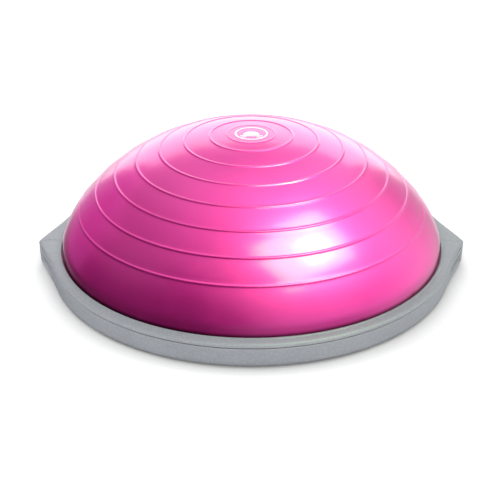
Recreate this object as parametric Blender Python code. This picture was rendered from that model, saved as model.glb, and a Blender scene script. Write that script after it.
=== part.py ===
"""Balance dome trainer: an inflated dome clamped to a round platform with two pointed grips.

Units are metres, +Z is up and the origin is on the floor, under the middle of the platform.
The grips point along +X and -X. The platform is two mouldings, base_platform and top_ring,
that screws pull together over the edge of the air bladder. The valve plug pulls out downwards
and the dome is pressed down along Z.
"""

from math import atan, atan2, cos, pi, radians, sin, sqrt, tau

import bmesh
import bpy
from mathutils import Matrix, Vector

MM = 0.001
GAP = 0.3 * MM

# Platform, all heights above the floor
SKIRT_RADIUS = 317.5 * MM
SKIRT_LEAN = 0.8 * MM
SKIRT_BOTTOM = 4.0 * MM
SKIRT_TOP = 34.2 * MM
SKIRT_WALL = 4.5 * MM
PLATE_TOP = 8.2 * MM
FIELD_DEPTH = 1.2 * MM
FIELD_INNER_RADIUS = 62.0 * MM
FIELD_OUTER_RADIUS = 266.0 * MM
SEAT_TOP = 28.7 * MM
SEAT_INNER_RADIUS = 297.8 * MM
SEAT_OUTER_RADIUS = 302.8 * MM
HUB_RADIUS = 27.0 * MM
HUB_HOLE_RADIUS = 15.6 * MM
WELL_RADIUS = 23.0 * MM
WELL_CEILING = 8.8 * MM
RIB_COUNT = 12
RIB_THICKNESS = 3.0 * MM
RIB_SUNK = 1.0 * MM
RIB_BELOW_SEAT = 0.4 * MM

# Pointed grips: their sides run straight from the tip to the round of the platform
TIP_RADIUS = 341.0 * MM
TIP_SLOPE = 0.42
TIP_ROUNDING = 0.010
CORNER_BLEND = 2.5 * MM
SCOOP_SHARE = 0.80
SCOOP_START = radians(2.2)
SCOOP_FULL = radians(4.6)
SCOOP_FADE = radians(10.5)
SCOOP_END = radians(15.0)
SCOOP_LOW = 8.5 * MM
SCOOP_HIGH = 31.0 * MM
SCOOP_CURVE = ((12.0 * MM, 0.80), (18.0 * MM, 1.00), (25.0 * MM, 0.85))
CREASE_HEIGHT = 0.9 * MM
CREASE_HALF_ANGLE = radians(0.35)
GRIP_STEPS = (1.2, 2.2, 3.4, 4.6, 6.0, 7.5, 9.0, 10.5, 12.0, 13.5, 15.0, 17.0, 20.0)
QUARTER_STEPS = 14

# Edge roundings of the two mouldings, as (distance in from the edge, height)
SKIRT_FOOT_EDGE = ((3.6 * MM, SKIRT_BOTTOM), (1.2 * MM, SKIRT_BOTTOM + 1.2 * MM))
SKIRT_TOP_EDGE = ((0.0, SCOOP_HIGH), (0.0, SKIRT_TOP - 1.0 * MM), (1.6 * MM, SKIRT_TOP))

# Top ring
RING_INNER_RADIUS = 302.2 * MM
RING_OUTER_RADIUS = 320.0 * MM
RING_BOTTOM = 34.6 * MM
RING_TOP = 42.0 * MM
RING_TIP_EXTRA = 1.2 * MM
RING_SHOULDER = (
    (1.6 * MM, RING_BOTTOM),
    (0.0, 36.2 * MM),
    (0.5 * MM, 38.9 * MM),
    (2.0 * MM, 40.7 * MM),
)
RING_SLOPE_START = 4.6 * MM
RING_SLOPE_DROP = 0.4 * MM
# Raised lip beside the dome, as (distance out from the ring's inner edge, height above its top face)
RING_LIP = (
    (6.0 * MM, 0.0),
    (4.4 * MM, 0.0),
    (3.6 * MM, 0.8 * MM),
    (1.4 * MM, 1.0 * MM),
    (0.0, -0.4 * MM),
)
OVERHANG_START = 1.0 * MM
OVERHANG_FULL = 6.0 * MM

# Air bladder: a superellipse above its widest circle, and a tucked neck below it
DOME_RADIUS = 300.3 * MM
DOME_WIDEST_HEIGHT = 56.4 * MM
DOME_RISE = 169.6 * MM
DOME_SIDE_POWER = 2.27
DOME_CROWN_POWER = 1.318
DOME_SKIN = 2.5 * MM
NECK_RADIUS = 296.8 * MM
NECK_HEIGHT = 37.5 * MM
FLANGE_RADIUS = 305.2 * MM
FLANGE_BOTTOM = 31.5 * MM
FLANGE_TOP = 34.0 * MM
FLANGE_CLEARANCE = 0.2 * MM
FLOOR_SKIN_BOTTOM = SEAT_TOP + GAP
FLOOR_SKIN_TOP = FLANGE_BOTTOM - GAP
WELD_FILLET = ((2.6 * MM, 0.0), (0.4 * MM, 1.4 * MM))

# Valve
VALVE_BORE_RADIUS = 11.1 * MM
VALVE_NECK_RADIUS = 15.0 * MM
VALVE_FLANGE_RADIUS = 26.0 * MM
VALVE_FLANGE_TOP = 33.5 * MM
VALVE_NECK_BOTTOM = WELL_CEILING + 0.1 * MM
PLUG_HEAD_RADIUS = 15.0 * MM
PLUG_HEAD_BOTTOM = 5.2 * MM
PLUG_HEAD_TOP = 8.3 * MM
PLUG_SHANK_RADIUS = 10.2 * MM
PLUG_BEAD_RADIUS = 10.8 * MM
PLUG_BEAD_HEIGHTS = (14.0 * MM, 19.0 * MM)
PLUG_BEAD_HALF = 1.2 * MM
PLUG_TAPER_START = 24.0 * MM
PLUG_TAPER = 1.6 * MM
PLUG_WALL = 3.4 * MM
PLUG_HOLLOW_FLOOR = 12.0 * MM
PLUG_TOP = 30.0 * MM
PLUG_TAB_SIZE = (20.0 * MM, 4.0 * MM)
PLUG_TAB_BOTTOM = 4.4 * MM
VALVE_CHAMFER = 0.6 * MM

# Clamp screws and feet
SCREW_COUNT = 16
SCREW_CIRCLE = 309.8 * MM
SCREW_SHANK_RADIUS = 2.0 * MM
SCREW_HEAD_RADIUS = 3.6 * MM
SCREW_HEAD_BOTTOM = 4.4 * MM
SCREW_HEAD_TOP = 6.6 * MM
SCREW_TIP = 39.0 * MM
SCREW_POINT = 1.6 * MM
SCREW_HEAD_ROUNDING = 0.8 * MM
SCREW_SOCKET_RADIUS = 1.7 * MM
SCREW_SOCKET_DEPTH = 1.2 * MM
BOSS_RADIUS = 3.75 * MM
FOOT_COUNT = 8
FOOT_CIRCLE = 286.0 * MM
FOOT_RADIUS = 14.0 * MM
FOOT_TOP = 5.6 * MM
FOOT_STEM_RADIUS = 4.0 * MM
FOOT_ROUNDING = 1.2 * MM
FOOT_DIMPLE_RADIUS = 5.0 * MM
FOOT_DIMPLE_DEPTH = 1.0 * MM
FOOT_BARB = 1.4 * MM
FOOT_BARB_LENGTH = 4.0 * MM

# Emblem printed on the crown
EMBLEM_RADIUS = 26.0 * MM
EMBLEM_BAND = 3.2 * MM
EMBLEM_THICKNESS = 0.6 * MM
EMBLEM_BAR_OFFSET = 8.0 * MM
EMBLEM_BAR_WIDTH = 3.0 * MM
EMBLEM_BUMP_RADIUS = 13.0 * MM
EMBLEM_BUMP_STEPS = 14

ROUND_STEPS = 60
CUTTER_REACH = 3.0 * MM
CROWN_HEIGHT = DOME_WIDEST_HEIGHT + DOME_RISE


def clear_scene():
    for item in list(bpy.data.objects):
        bpy.data.objects.remove(item, do_unlink=True)


def material(name, colour, roughness, metallic=0.0):
    made = bpy.data.materials.new(name)
    made.use_nodes = True
    shader = made.node_tree.nodes["Principled BSDF"]
    shader.inputs["Base Color"].default_value = (*colour, 1.0)
    shader.inputs["Roughness"].default_value = roughness
    shader.inputs["Metallic"].default_value = metallic
    made.diffuse_color = (*colour, 1.0)
    return made


def finish_mesh(bm, name):
    """Turns a bmesh into mesh data with faces out and round surfaces smooth."""
    bmesh.ops.recalc_face_normals(bm, faces=bm.faces)
    mesh = bpy.data.meshes.new(name)
    bm.to_mesh(mesh)
    bm.free()
    mesh.shade_smooth()
    mesh.set_sharp_from_angle(angle=radians(32))
    return mesh


def add_object(name, mesh, look=None):
    made = bpy.data.objects.new(name, mesh)
    bpy.context.scene.collection.objects.link(made)
    if look and not mesh.materials:
        mesh.materials.append(look)
    return made


def swept_ring(section_at, angles):
    """A closed ring. section_at(angle) gives the same number of (radius, height) points each time."""
    bm = bmesh.new()
    rows = []
    for angle in angles:
        rows.append([bm.verts.new((r * cos(angle), r * sin(angle), z)) for r, z in section_at(angle)])
    for row, after in zip(rows, rows[1:] + rows[:1]):
        for i in range(len(row)):
            j = (i + 1) % len(row)
            bm.faces.new((row[i], after[i], after[j], row[j]))
    return bm


def turned(profile, steps=ROUND_STEPS):
    """A turned solid. The profile's first and last points may lie on the axis."""
    bm = bmesh.new()
    points = [bm.verts.new((r, 0.0, z)) for r, z in profile]
    edges = [bm.edges.new(pair) for pair in zip(points, points[1:])]
    if profile[0][0] > 0.0:
        edges.append(bm.edges.new((points[-1], points[0])))
    bmesh.ops.spin(bm, geom=points + edges, axis=(0, 0, 1), cent=(0, 0, 0), steps=steps, angle=tau,
                   use_merge=True)
    bmesh.ops.remove_doubles(bm, verts=bm.verts, dist=0.00001)
    return bm


def add_cylinder(bm, radius, low, high, at=(0.0, 0.0), steps=16):
    bmesh.ops.create_cone(bm, cap_ends=True, segments=steps, radius1=radius, radius2=radius,
                          depth=high - low,
                          matrix=Matrix.Translation((at[0], at[1], (low + high) / 2)))


def add_box(bm, size, centre, turn=0.0):
    place = Matrix.Rotation(turn, 4, "Z") @ Matrix.Translation(centre) @ Matrix.Diagonal((*size, 1.0))
    bmesh.ops.create_cube(bm, size=1.0, matrix=place)


def boolean(target, tool_mesh, operation):
    """Keeps the tool as a hidden wire object and cuts or joins the target with it."""
    tool = add_object(f"{target.name}_{operation.lower()}_tool", tool_mesh)
    tool.hide_render = True
    tool.display_type = "WIRE"
    step = target.modifiers.new(operation.title(), "BOOLEAN")
    step.operation = operation
    step.solver = "EXACT"
    step.object = tool


def on_circle(radius, index, count, offset=0.0):
    angle = tau * (index + offset) / count
    return radius * cos(angle), radius * sin(angle)


# Outline of the platform

def from_tip(angle):
    """The angle's distance from the nearer grip's middle, 0 at the tip."""
    return abs(atan2(sin(2 * angle), cos(2 * angle))) / 2


def edge_radius(angle, round_radius, tip_radius):
    """The platform's outer edge: a circle, and two straight sides that meet at each tip."""
    away = min(from_tip(angle), atan(TIP_SLOPE))
    side = tip_radius / (cos(away) + TIP_SLOPE * sqrt(sin(away) ** 2 + TIP_ROUNDING ** 2))
    beyond = side * (1 + TIP_SLOPE * TIP_ROUNDING) - round_radius
    if beyond > CORNER_BLEND:
        return round_radius + beyond
    return round_radius + max(beyond + CORNER_BLEND, 0.0) ** 2 / (4 * CORNER_BLEND)


def smooth_step(value, low, high):
    share = min(max((value - low) / (high - low), 0.0), 1.0)
    return share * share * (3 - 2 * share)


def scoop_depth(angle):
    """How far the finger scoops under each grip go in, 0 at the tip and on the round."""
    away = from_tip(angle)
    overhang = edge_radius(angle, SKIRT_RADIUS, TIP_RADIUS) - SKIRT_RADIUS
    inside = smooth_step(away, SCOOP_START, SCOOP_FULL) * (1 - smooth_step(away, SCOOP_FADE, SCOOP_END))
    return SCOOP_SHARE * overhang * inside


def outline_angles():
    """Angles round the platform, closer together at the grips and paired beside each crease."""
    quarter = [0.0, CREASE_HALF_ANGLE]
    quarter += [radians(step) for step in GRIP_STEPS]
    start = quarter[-1]
    quarter += [start + (pi / 2 - start) * i / QUARTER_STEPS for i in range(1, QUARTER_STEPS + 1)]
    half = quarter[:-1] + [pi - angle for angle in reversed(quarter)]
    return half[:-1] + [pi + angle for angle in half[:-1]]


# Platform mouldings

def base_section(angle):
    edge = edge_radius(angle, SKIRT_RADIUS, TIP_RADIUS)
    scoop = scoop_depth(angle)
    field_height = SKIRT_BOTTOM + FIELD_DEPTH
    underside = [
        (HUB_HOLE_RADIUS, WELL_CEILING),
        (WELL_RADIUS, WELL_CEILING),
        (WELL_RADIUS, SKIRT_BOTTOM),
        (FIELD_INNER_RADIUS, SKIRT_BOTTOM),
        (FIELD_INNER_RADIUS + FIELD_DEPTH, field_height),
        (FIELD_OUTER_RADIUS - FIELD_DEPTH, field_height),
        (FIELD_OUTER_RADIUS, SKIRT_BOTTOM),
    ]
    outside = [(edge - inset, height) for inset, height in SKIRT_FOOT_EDGE]
    outside += [(edge, SCOOP_LOW)]
    outside += [(edge - share * scoop, height) for height, share in SCOOP_CURVE]
    outside += [(edge + SKIRT_LEAN - inset, height) for inset, height in SKIRT_TOP_EDGE]
    inside = [
        (SKIRT_RADIUS - SKIRT_WALL, SKIRT_TOP),
        (SKIRT_RADIUS - SKIRT_WALL, PLATE_TOP),
        (SEAT_OUTER_RADIUS, PLATE_TOP),
        (SEAT_OUTER_RADIUS, SEAT_TOP),
        (SEAT_INNER_RADIUS, SEAT_TOP),
        (SEAT_INNER_RADIUS, PLATE_TOP),
        (HUB_RADIUS, PLATE_TOP),
        (HUB_RADIUS, SEAT_TOP),
        (HUB_HOLE_RADIUS, SEAT_TOP),
    ]
    return underside + outside + inside


def base_platform(look):
    base = add_object("base_platform", finish_mesh(swept_ring(base_section, outline_angles()), "base"), look)

    added = bmesh.new()
    rib_start = HUB_RADIUS - RIB_SUNK
    rib_end = SEAT_INNER_RADIUS + RIB_SUNK
    rib_low = PLATE_TOP - RIB_SUNK
    rib_high = SEAT_TOP - RIB_BELOW_SEAT
    for i in range(RIB_COUNT):
        add_box(added, (rib_end - rib_start, RIB_THICKNESS, rib_high - rib_low),
                ((rib_start + rib_end) / 2, 0.0, (rib_low + rib_high) / 2), tau * (i + 0.5) / RIB_COUNT)
    for i in range(SCREW_COUNT):
        add_cylinder(added, BOSS_RADIUS, PLATE_TOP - RIB_SUNK, SKIRT_TOP - GAP,
                     on_circle(SCREW_CIRCLE, i, SCREW_COUNT, 0.5), 12)
    boolean(base, finish_mesh(added, "base_ribs_and_bosses"), "UNION")

    cut = bmesh.new()
    below = SKIRT_BOTTOM - CUTTER_REACH
    for i in range(SCREW_COUNT):
        place = on_circle(SCREW_CIRCLE, i, SCREW_COUNT, 0.5)
        add_stepped_cutter(cut, place, SCREW_HEAD_RADIUS + GAP, below, SCREW_HEAD_TOP + GAP,
                           SCREW_SHANK_RADIUS + GAP, SKIRT_TOP + CUTTER_REACH, 12)
    for i in range(FOOT_COUNT):
        place = on_circle(FOOT_CIRCLE, i, FOOT_COUNT, 0.5)
        add_stepped_cutter(cut, place, FOOT_RADIUS + GAP, below, FOOT_TOP + GAP,
                           FOOT_STEM_RADIUS + GAP, PLATE_TOP + CUTTER_REACH, 16)
    boolean(base, finish_mesh(cut, "base_holes"), "DIFFERENCE")
    return base


def add_stepped_cutter(bm, place, wide, low, step, narrow, high, steps):
    """One closed cutter for a counterbored hole."""
    before = set(bm.verts)
    half = turned([(0.0, low), (wide, low), (wide, step), (narrow, step), (narrow, high), (0.0, high)],
                  steps)
    mesh = bpy.data.meshes.new("hole_cutter")
    half.to_mesh(mesh)
    half.free()
    bm.from_mesh(mesh)
    bpy.data.meshes.remove(mesh)
    fresh = [vert for vert in bm.verts if vert not in before]
    bmesh.ops.translate(bm, verts=fresh, vec=Vector((place[0], place[1], 0.0)))


def ring_section(angle):
    edge = edge_radius(angle, RING_OUTER_RADIUS, TIP_RADIUS + RING_TIP_EXTRA)
    overhang = smooth_step(edge - RING_OUTER_RADIUS, OVERHANG_START, OVERHANG_FULL)
    on_crease = 1.0 if from_tip(angle) < CREASE_HALF_ANGLE / 2 else 0.0
    crease = CREASE_HEIGHT * on_crease * overhang
    clamp_bottom = FLANGE_TOP + GAP
    underside = [
        (RING_INNER_RADIUS, clamp_bottom),
        (FLANGE_RADIUS - FLANGE_CLEARANCE, clamp_bottom),
        (FLANGE_RADIUS + GAP, RING_BOTTOM),
    ]
    shoulder = [(edge - inset, height) for inset, height in RING_SHOULDER]
    slope = [(edge - RING_SLOPE_START, RING_TOP - RING_SLOPE_DROP + crease)]
    lip = [(RING_INNER_RADIUS + out, RING_TOP + rise) for out, rise in RING_LIP]
    lip[0] = (lip[0][0], lip[0][1] + crease)
    return underside + shoulder + slope + lip


def top_ring(look):
    ring = add_object("top_ring", finish_mesh(swept_ring(ring_section, outline_angles()), "ring"), look)
    cut = bmesh.new()
    for i in range(SCREW_COUNT):
        add_cylinder(cut, SCREW_SHANK_RADIUS + GAP, RING_BOTTOM - CUTTER_REACH, SCREW_TIP + GAP,
                     on_circle(SCREW_CIRCLE, i, SCREW_COUNT, 0.5), 12)
    boolean(ring, finish_mesh(cut, "ring_holes"), "DIFFERENCE")
    return ring


# Air bladder

def dome_curve(radius, widest, rise, points):
    """From the widest circle up to the crown, evenly in angle."""
    curve = []
    for i in range(points + 1):
        angle = pi / 2 * i / points
        across = radius * cos(angle) ** (2 / DOME_SIDE_POWER) if i < points else 0.0
        curve.append((across, widest + rise * sin(angle) ** (2 / DOME_CROWN_POWER)))
    return curve


def neck_curve(inset, points):
    """From the neck up to just below the widest circle."""
    curve = []
    for i in range(points):
        height = NECK_HEIGHT + (DOME_WIDEST_HEIGHT - NECK_HEIGHT) * i / points
        drop = (DOME_WIDEST_HEIGHT - height) / (DOME_WIDEST_HEIGHT - NECK_HEIGHT)
        curve.append((DOME_RADIUS - inset - (DOME_RADIUS - NECK_RADIUS) * drop ** 2, height))
    return curve


def dome_bladder(look):
    outer = [(FLANGE_RADIUS, FLANGE_BOTTOM), (FLANGE_RADIUS, FLANGE_TOP)]
    outer += [(NECK_RADIUS + out, FLANGE_TOP + rise) for out, rise in WELD_FILLET]
    outer += neck_curve(0.0, 3)
    outer += dome_curve(DOME_RADIUS, DOME_WIDEST_HEIGHT, DOME_RISE, 14)
    inner = dome_curve(DOME_RADIUS - DOME_SKIN, DOME_WIDEST_HEIGHT, DOME_RISE - DOME_SKIN, 9)[::-1]
    inner += neck_curve(DOME_SKIN, 1)
    inner += [(NECK_RADIUS - DOME_SKIN, FLANGE_BOTTOM)]
    bm = bmesh.new()
    spin_open_shell(bm, outer, inner)
    return add_object("dome_bladder", finish_mesh(bm, "dome"), look)


def spin_open_shell(bm, outer, inner):
    """A turned shell whose outer and inner skins both close at the axis and meet at the rim."""
    outline = outer + inner
    columns = []
    crown_points = {}
    for step in range(ROUND_STEPS):
        angle = tau * step / ROUND_STEPS
        column = []
        for index, (r, z) in enumerate(outline):
            if r > 0.0:
                column.append(bm.verts.new((r * cos(angle), r * sin(angle), z)))
            else:
                if index not in crown_points:
                    crown_points[index] = bm.verts.new((0.0, 0.0, z))
                column.append(crown_points[index])
        columns.append(column)
    count = len(outline)
    for left, right in zip(columns, columns[1:] + columns[:1]):
        for i in range(count):
            j = (i + 1) % count
            corners = [left[i], right[i], right[j], left[j]]
            unique = list(dict.fromkeys(corners))
            if len(unique) > 2:
                bm.faces.new(unique)


def bladder_floor(look):
    inner = VALVE_NECK_RADIUS + GAP
    outer = FLANGE_RADIUS - FLANGE_CLEARANCE
    profile = [(inner, FLOOR_SKIN_BOTTOM), (outer, FLOOR_SKIN_BOTTOM),
               (outer, FLOOR_SKIN_TOP), (inner, FLOOR_SKIN_TOP)]
    return add_object("bladder_floor", finish_mesh(turned(profile), "floor_skin"), look)


# Valve

def valve_seat(look):
    profile = [
        (VALVE_BORE_RADIUS, VALVE_NECK_BOTTOM),
        (VALVE_NECK_RADIUS - VALVE_CHAMFER, VALVE_NECK_BOTTOM),
        (VALVE_NECK_RADIUS, VALVE_NECK_BOTTOM + VALVE_CHAMFER),
        (VALVE_NECK_RADIUS, FLANGE_BOTTOM),
        (VALVE_FLANGE_RADIUS, FLANGE_BOTTOM),
        (VALVE_FLANGE_RADIUS, VALVE_FLANGE_TOP - VALVE_CHAMFER),
        (VALVE_FLANGE_RADIUS - 2 * VALVE_CHAMFER, VALVE_FLANGE_TOP),
        (VALVE_BORE_RADIUS, VALVE_FLANGE_TOP),
    ]
    return add_object("valve_seat", finish_mesh(turned(profile, 32), "valve_seat"), look)


def valve_plug(look):
    """The plug's origin is on its own slide axis, at the top face of its head."""
    head = PLUG_HEAD_TOP
    profile = [
        (0.0, PLUG_HEAD_BOTTOM),
        (PLUG_HEAD_RADIUS - VALVE_CHAMFER, PLUG_HEAD_BOTTOM),
        (PLUG_HEAD_RADIUS, PLUG_HEAD_BOTTOM + VALVE_CHAMFER),
        (PLUG_HEAD_RADIUS, head),
        (PLUG_SHANK_RADIUS, head),
    ]
    for bead in PLUG_BEAD_HEIGHTS:
        profile += [
            (PLUG_SHANK_RADIUS, bead - PLUG_BEAD_HALF),
            (PLUG_BEAD_RADIUS, bead),
            (PLUG_SHANK_RADIUS, bead + PLUG_BEAD_HALF),
        ]
    profile += [
        (PLUG_SHANK_RADIUS, PLUG_TAPER_START),
        (PLUG_SHANK_RADIUS - PLUG_TAPER, PLUG_TOP),
        (PLUG_SHANK_RADIUS - PLUG_WALL, PLUG_TOP),
        (PLUG_SHANK_RADIUS - PLUG_WALL, PLUG_HOLLOW_FLOOR),
        (0.0, PLUG_HOLLOW_FLOOR),
    ]
    bm = turned([(r, z - head) for r, z in profile], 32)
    plug = add_object("valve_plug", finish_mesh(bm, "valve_plug"), look)
    plug.location.z = head
    tab = bmesh.new()
    tab_top = (PLUG_HEAD_BOTTOM + PLUG_HEAD_TOP) / 2
    add_box(tab, (*PLUG_TAB_SIZE, tab_top - PLUG_TAB_BOTTOM), (0.0, 0.0, (PLUG_TAB_BOTTOM + tab_top) / 2))
    boolean(plug, finish_mesh(tab, "plug_tab"), "UNION")
    return plug


# Repeated pieces

def clamp_screws(look):
    profile = [
        (0.0, SCREW_HEAD_BOTTOM + SCREW_SOCKET_DEPTH),
        (SCREW_SOCKET_RADIUS, SCREW_HEAD_BOTTOM + SCREW_SOCKET_DEPTH),
        (SCREW_SOCKET_RADIUS, SCREW_HEAD_BOTTOM),
        (SCREW_HEAD_RADIUS - SCREW_HEAD_ROUNDING, SCREW_HEAD_BOTTOM),
        (SCREW_HEAD_RADIUS, SCREW_HEAD_BOTTOM + SCREW_HEAD_ROUNDING),
        (SCREW_HEAD_RADIUS, SCREW_HEAD_TOP),
        (SCREW_SHANK_RADIUS, SCREW_HEAD_TOP),
        (SCREW_SHANK_RADIUS, SCREW_TIP - SCREW_POINT),
        (0.0, SCREW_TIP),
    ]
    mesh = finish_mesh(turned(profile, 10), "clamp_screw")
    for i in range(SCREW_COUNT):
        screw = add_object(f"clamp_screw_{i + 1:02d}", mesh, look)
        screw.location.xy = on_circle(SCREW_CIRCLE, i, SCREW_COUNT, 0.5)


def feet(look):
    barb = PLATE_TOP + GAP
    profile = [
        (0.0, FOOT_DIMPLE_DEPTH),
        (FOOT_DIMPLE_RADIUS, FOOT_DIMPLE_DEPTH),
        (FOOT_DIMPLE_RADIUS + FOOT_DIMPLE_DEPTH / 2, 0.0),
        (FOOT_RADIUS - FOOT_ROUNDING, 0.0),
        (FOOT_RADIUS, FOOT_ROUNDING),
        (FOOT_RADIUS, FOOT_TOP),
        (FOOT_STEM_RADIUS, FOOT_TOP),
        (FOOT_STEM_RADIUS, barb),
        (FOOT_STEM_RADIUS + FOOT_BARB, barb),
        (FOOT_STEM_RADIUS - FOOT_BARB, barb + FOOT_BARB_LENGTH),
        (0.0, barb + FOOT_BARB_LENGTH),
    ]
    mesh = finish_mesh(turned(profile, 16), "foot")
    for i in range(FOOT_COUNT):
        foot = add_object(f"foot_{i + 1}", mesh, look)
        foot.location.xy = on_circle(FOOT_CIRCLE, i, FOOT_COUNT, 0.5)


def crown_emblem(look):
    """A printed ring with a half-round over a bar, a plain picture of the trainer itself."""
    low = CROWN_HEIGHT + GAP
    high = low + EMBLEM_THICKNESS
    inner = EMBLEM_RADIUS - EMBLEM_BAND
    ring = turned([(inner, low), (EMBLEM_RADIUS, low), (EMBLEM_RADIUS, high), (inner, high)], 40)
    emblem = add_object("crown_emblem", finish_mesh(ring, "emblem"), look)
    bar = bmesh.new()
    bar_length = 2 * sqrt(inner ** 2 - EMBLEM_BAR_OFFSET ** 2) + EMBLEM_BAR_WIDTH / 2
    add_box(bar, (bar_length, EMBLEM_BAR_WIDTH, EMBLEM_THICKNESS),
            (0.0, -EMBLEM_BAR_OFFSET, (low + high) / 2))
    boolean(emblem, finish_mesh(bar, "emblem_bar"), "UNION")
    bump = bmesh.new()
    corners = []
    for i in range(EMBLEM_BUMP_STEPS + 1):
        angle = pi * i / EMBLEM_BUMP_STEPS
        corners.append((EMBLEM_BUMP_RADIUS * cos(angle),
                        EMBLEM_BUMP_RADIUS * sin(angle) - EMBLEM_BAR_OFFSET, low))
    face = bump.faces.new([bump.verts.new(corner) for corner in corners])
    lifted = bmesh.ops.extrude_face_region(bump, geom=[face])
    top = [item for item in lifted["geom"] if isinstance(item, bmesh.types.BMVert)]
    bmesh.ops.translate(bump, verts=top, vec=(0.0, 0.0, EMBLEM_THICKNESS))
    boolean(emblem, finish_mesh(bump, "emblem_half_round"), "UNION")
    return emblem


def build():
    clear_scene()
    platform_grey = material("platform_grey", (0.36, 0.38, 0.41), 0.42)
    dome_pink = material("dome_pink", (0.87, 0.07, 0.40), 0.22)
    floor_vinyl = material("floor_vinyl", (0.72, 0.06, 0.32), 0.45)
    valve_white = material("valve_white", (0.82, 0.82, 0.80), 0.40)
    foot_rubber = material("foot_rubber", (0.045, 0.045, 0.05), 0.85)
    screw_steel = material("screw_steel", (0.58, 0.58, 0.60), 0.30, 1.0)
    emblem_ink = material("emblem_ink", (0.92, 0.88, 0.90), 0.35)

    base_platform(platform_grey)
    top_ring(platform_grey)
    dome_bladder(dome_pink)
    bladder_floor(floor_vinyl)
    valve_seat(valve_white)
    valve_plug(valve_white)
    crown_emblem(emblem_ink)
    clamp_screws(screw_steel)
    feet(foot_rubber)


build()
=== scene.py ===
"""Looks of a balance dome trainer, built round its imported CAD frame.

Everything is in metres and in the frame of the CAD: +Z up, the floor at z = 0 and the two grips
along +X and -X. Sizes that the frame holds are read from it; the rest are named below.
"""

from math import atan, atan2, cos, hypot, pi, radians, sin, sqrt, tau

import bmesh
import bpy
import numpy as np
from mathutils import Matrix, Vector, noise


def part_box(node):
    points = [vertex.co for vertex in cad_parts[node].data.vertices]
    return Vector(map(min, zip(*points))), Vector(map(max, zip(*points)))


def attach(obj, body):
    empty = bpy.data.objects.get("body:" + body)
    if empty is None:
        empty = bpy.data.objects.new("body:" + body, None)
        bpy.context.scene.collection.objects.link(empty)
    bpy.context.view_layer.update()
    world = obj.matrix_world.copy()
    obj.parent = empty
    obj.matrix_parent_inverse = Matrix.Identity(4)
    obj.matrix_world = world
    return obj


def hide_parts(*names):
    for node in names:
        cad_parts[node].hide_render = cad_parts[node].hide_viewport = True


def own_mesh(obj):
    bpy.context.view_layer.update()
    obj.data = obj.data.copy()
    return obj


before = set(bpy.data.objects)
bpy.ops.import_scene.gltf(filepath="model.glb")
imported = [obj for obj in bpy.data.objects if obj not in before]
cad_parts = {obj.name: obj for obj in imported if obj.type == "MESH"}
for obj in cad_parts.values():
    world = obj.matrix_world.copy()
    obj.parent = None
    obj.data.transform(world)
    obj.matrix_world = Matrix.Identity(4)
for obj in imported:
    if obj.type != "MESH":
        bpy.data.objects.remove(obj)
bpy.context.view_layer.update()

MM = 0.001


def node_centre(node):
    low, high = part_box(node)
    return (low + high) / 2


# Sizes read from the frame
BASE_LOW, BASE_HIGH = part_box("base_platform")
RING_LOW, RING_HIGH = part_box("top_ring")
DOME_LOW, DOME_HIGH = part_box("dome_bladder")
FLOOR_SKIN_LOW, FLOOR_SKIN_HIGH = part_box("bladder_floor")
SEAT_LOW, SEAT_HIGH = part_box("valve_seat")
PLUG_LOW, PLUG_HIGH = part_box("valve_plug")
SCREW_LOW, SCREW_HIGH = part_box("clamp_screw_01")
FOOT_LOW, FOOT_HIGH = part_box("foot_1")

# Platform
SKIRT_LEAN = 0.8 * MM
SKIRT_RADIUS = BASE_HIGH.y - SKIRT_LEAN
SKIRT_BOTTOM = BASE_LOW.z
SKIRT_TOP = BASE_HIGH.z
TIP_RADIUS = BASE_HIGH.x - SKIRT_LEAN
TIP_SLOPE = 0.42
TIP_ROUNDING = 0.010
CORNER_BLEND = 2.5 * MM
PLATE_TOP = 8.2 * MM
SKIRT_WALL = 4.5 * MM
SEAT_WALL_TOP = FLOOR_SKIN_LOW.z - 0.3 * MM
SEAT_WALL_INNER = 297.8 * MM
SEAT_WALL_OUTER = 302.8 * MM
HUB_RADIUS = 27.0 * MM
HUB_HOLE_RADIUS = 15.6 * MM
WELL_RADIUS = 23.0 * MM
WELL_CEILING = 8.8 * MM
BASE_RIB_COUNT = 12
BASE_RIB_THICKNESS = 3.0 * MM

# Standing surface under the platform: low rings for grip when the trainer is turned over
FIELD_INNER_RADIUS = 62.0 * MM
FIELD_OUTER_RADIUS = 266.0 * MM
FIELD_DEPTH = 1.2 * MM
GRIP_LINE_PITCH = 8.5 * MM
GRIP_LINE_WIDTH = 3.4 * MM
GRIP_LINE_HEIGHT = 0.7 * MM

# Finger scoops under the grips
SCOOP_SHARE = 0.96
SCOOP_START = radians(1.3)
SCOOP_FULL = radians(3.4)
SCOOP_FADE = radians(10.5)
SCOOP_END = radians(15.0)
SCOOP_LOW = 8.5 * MM
SCOOP_HIGH = 31.0 * MM
SCOOP_ROWS = 12

# Slot between the platform and the ring
SLOT_HALF = 0.6 * MM
SLOT_DEPTH = 3.0 * MM

# Top ring
RING_RADIUS = RING_HIGH.y
RING_TIP_RADIUS = RING_HIGH.x
RING_INNER_RADIUS = 302.2 * MM
RING_BOTTOM = 34.6 * MM
RING_TOP = 42.0 * MM
CREASE_HEIGHT = 0.9 * MM
CREASE_HALF_WIDTH = 1.5 * MM

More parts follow.
